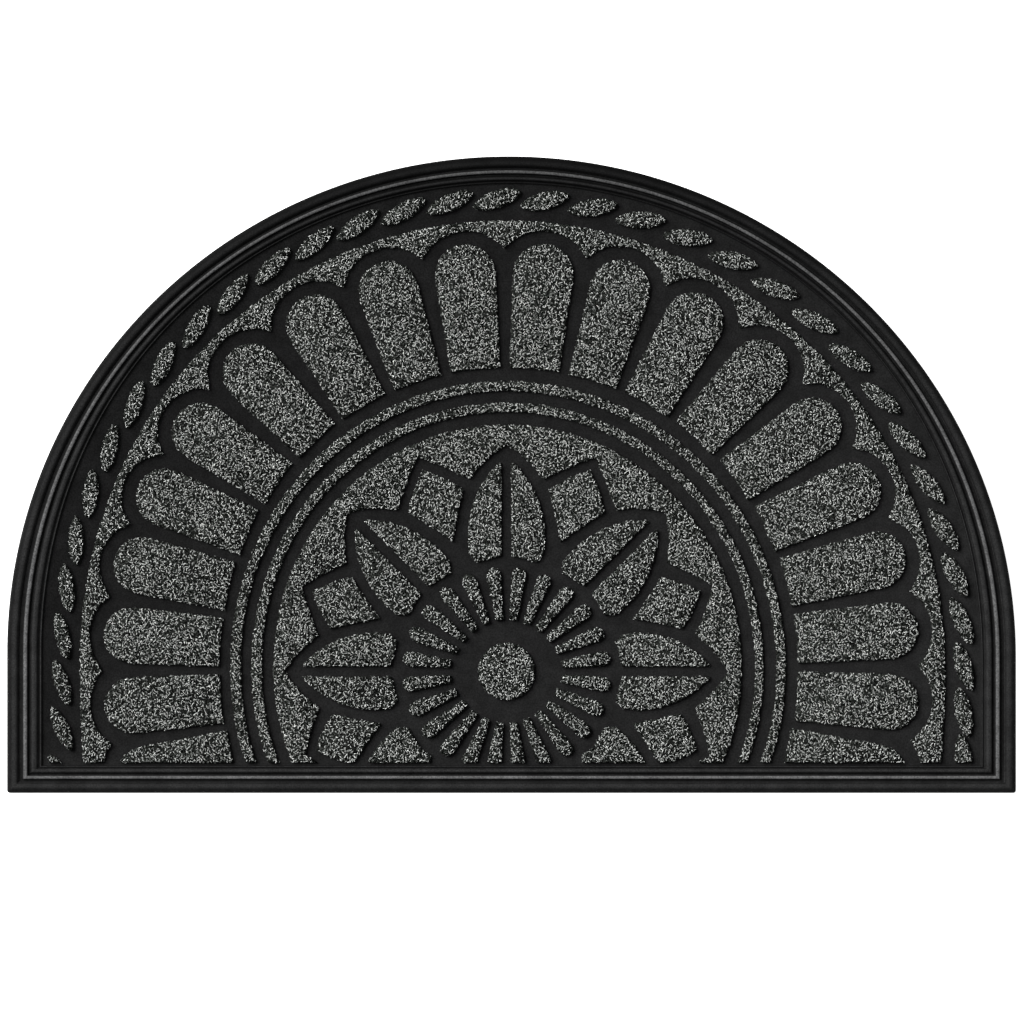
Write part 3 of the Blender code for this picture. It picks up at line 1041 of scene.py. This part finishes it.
@dataclass
class PilePad:
    """One CAD pile node, dressed: its matted ground with curly strands over the top and sides."""

    node: str
    seed: int
    sizes: StrandSizes = field(default_factory=StrandSizes)
    cut_height: float = 5.5
    foot: float = 3.5
    level: float = 6.9
    pad_top: float = 8.0
    wall_clearance: float = 0.4
    ground_shade: float = 0.1
    weld: float = 0.01
    cut_slack: float = 0.001
    shortest_edge: float = 0.02
    above_cut: float = 0.1

    def ground(self) -> tuple[bmesh.types.BMesh, Outline]:
        """Copies the pad's CAD form, without its backing, and lowers its top for the strands.

        Returns:
            The ground's mesh in millimetres and the pad's outline.
        """
        bm = bmesh.new()
        bm.from_mesh(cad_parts[self.node].data)
        bmesh.ops.scale(bm, verts=bm.verts, vec=(1 / MM, 1 / MM, 1 / MM))
        bmesh.ops.remove_doubles(bm, verts=bm.verts, dist=self.weld)
        geometry = bm.verts[:] + bm.edges[:] + bm.faces[:]
        bmesh.ops.bisect_plane(
            bm,
            geom=geometry,
            dist=self.cut_slack,
            plane_co=(0.0, 0.0, self.cut_height),
            plane_no=(0.0, 0.0, 1.0),
            clear_inner=True,
        )
        rim = [edge for edge in bm.edges if edge.is_boundary]
        rim = [edge for edge in rim if edge.calc_length() > self.shortest_edge]
        ends = [[vertex.co.xy for vertex in edge.verts] for edge in rim]
        outward = [edge.link_faces[0].normal.xy.normalized() for edge in rim]
        outline = Outline(
            np.array([pair[0] for pair in ends]),
            np.array([pair[1] for pair in ends]),
            np.array(outward),
        )
        rim = [edge for edge in bm.edges if edge.is_boundary]
        made = bmesh.ops.extrude_edge_only(bm, edges=rim)["geom"]
        for vertex in (item for item in made if isinstance(item, bmesh.types.BMVert)):
            vertex.co.z = self.foot
        drop = self.pad_top - self.level
        for vertex in bm.verts:
            if vertex.co.z > self.cut_height + self.above_cut:
                vertex.co.z -= drop
        bmesh.ops.triangulate(bm, faces=bm.faces)
        return bm, outline

    def build(self, ground: bpy.types.Material, strand: bpy.types.Material) -> bpy.types.Object:
        """Builds the pad's piece.

        Args:
            ground: the finish of the matted foot.
            strand: the finish of the strands.

        Returns:
            The piece, standing for its CAD node.
        """
        bm, outline = self.ground()
        bm.verts.index_update()
        low_places = np.array([vertex.co for vertex in bm.verts])
        low_faces = np.array([[v.index for v in face.verts] for face in bm.faces])
        bm.free()
        strands = Strands(self.sizes, np.random.default_rng(self.seed))
        strands.add_top(outline, self.level)
        strands.add_wall(outline, self.foot + self.wall_clearance, self.level)
        places, faces, shade, uv = strands.mesh_arrays()
        spread = low_places[:, :2] - low_places[:, :2].min(0)
        map_size = np.array((MAP_WIDTH, MAP_HEIGHT))
        low_uv = np.array((GROUND_MAP_LEFT, MAP_LOW)) + spread / spread.max(0) * map_size
        all_places = np.concatenate([low_places, places]) * MM
        all_faces = np.concatenate([low_faces, faces + len(low_places)])
        mesh = bpy.data.meshes.new(self.node)
        mesh.vertices.add(len(all_places))
        mesh.vertices.foreach_set("co", all_places.astype(np.float32).ravel())
        mesh.loops.add(all_faces.size)
        mesh.loops.foreach_set("vertex_index", all_faces.astype(np.int32).ravel())
        mesh.polygons.add(len(all_faces))
        starts = np.arange(0, all_faces.size, 3, dtype=np.int32)
        mesh.polygons.foreach_set("loop_start", starts)
        kinds = np.full(len(all_faces), Face.STRAND.value, np.int32)
        kinds[: len(low_faces)] = Face.GROUND.value
        mesh.polygons.foreach_set("material_index", kinds)
        mesh.update(calc_edges=True)
        values = mesh.attributes.new("shade", "FLOAT", "POINT")
        all_shades = np.concatenate([np.full(len(low_places), self.ground_shade), shade])
        values.data.foreach_set("value", all_shades.astype(np.float32))
        layer = mesh.uv_layers.new(name="OFBake")
        corner_uv = np.concatenate([low_uv, uv])[all_faces.ravel()]
        layer.uv.foreach_set("vector", corner_uv.astype(np.float32).ravel())
        mesh.validate()
        mesh.shade_smooth()
        piece = finished(mesh, self.node.replace("pile_", "pad_"), [ground, strand])
        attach(piece, "root")
        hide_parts(self.node)
        log.info("%s: %d triangles", piece.name, len(mesh.polygons))
        return piece


@dataclass
class Studio:
    """The pale floor, the soft light and the camera straight above the mat."""

    floor_side: float = 12000.0
    lens: float = 200.0
    sensor: float = 36.0
    view_width: float = 927.9
    view_middle: tuple[float, float] = (0.45, -33.9)
    top_height: float = 6.0
    clip: tuple[float, float] = (0.1, 50.0)
    dome: float = 0.3
    dome_colour: str = "#fbfcff"
    sun: float = 6.2
    sun_tilt: float = 53.0
    sun_from: float = 148.0
    sun_angle: float = 42.0
    sun_distance: float = 3.0

    def build(self) -> None:
        """Builds the floor, the lights and the camera."""
        self.lay_floor()
        self.light()
        self.set_camera()

    def lay_floor(self) -> None:
        """Lays the floor that the mat rests on."""
        bm = bmesh.new()
        half = self.floor_side / 2 * MM
        bmesh.ops.create_grid(bm, x_segments=2, y_segments=2, size=half)
        mesh = bpy.data.meshes.new("floor")
        bm.to_mesh(mesh)
        bm.free()
        floor = finished(mesh, "floor", [StudioFloor().make()])

    def light(self) -> None:
        """Hangs a pale dome of light and one wide, soft window light."""
        world = bpy.data.worlds.new("studio")
        world.use_nodes = True
        world.node_tree.nodes.clear()
        sky = add_node(
            world.node_tree,
            "ShaderNodeBackground",
            None,
            {"Color": to_linear(self.dome_colour), "Strength": self.dome},
        )
        add_node(
            world.node_tree,
            "ShaderNodeOutputWorld",
            None,
            {"Surface": sky.outputs["Background"]},
        )
        bpy.context.scene.world = world
        lamp = bpy.data.lights.new("window_light", "SUN")
        lamp.energy = self.sun
        lamp.angle = math.radians(self.sun_angle)
        sun = bpy.data.objects.new("window_light", lamp)
        tilt, turn = math.radians(self.sun_tilt), math.radians(self.sun_from)
        away = Vector(
            (math.sin(tilt) * math.cos(turn), math.sin(tilt) * math.sin(turn), math.cos(tilt))
        )
        sun.rotation_mode = "QUATERNION"
        sun.rotation_quaternion = away.to_track_quat("Z", "Y")
        sun.location = away * self.sun_distance
        bpy.context.scene.collection.objects.link(sun)

    def set_camera(self) -> None:
        """Sets the camera straight above the mat, far off, with a long lens."""
        data = bpy.data.cameras.new("camera")
        data.lens = self.lens
        data.sensor_width = self.sensor
        data.clip_start, data.clip_end = self.clip
        camera = bpy.data.objects.new("camera", data)
        distance = self.lens * self.view_width / self.sensor
        camera.location = Vector((*self.view_middle, distance + self.top_height)) * MM
        bpy.context.scene.collection.objects.link(camera)
        bpy.context.scene.camera = camera


def main() -> None:
    """Builds the mat and its studio, piece by piece."""
    logging.basicConfig(level=logging.INFO, format="%(message)s")
    scene = bpy.context.scene
    scene.view_settings.view_transform = "Standard"
    Studio().build()
    base = RubberBase()
    tray = base.build(MouldedRubber().make())
    ground, strand = PileGround().make(), PileStrand().make()
    nodes = sorted(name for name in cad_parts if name.startswith("pile_"))
    pads = [PilePad(node, seed).build(ground, strand) for seed, node in enumerate(nodes)]
    log.info("pile: %d triangles in all", sum(len(pad.data.polygons) for pad in pads))


if __name__ == "__main__":
    main()
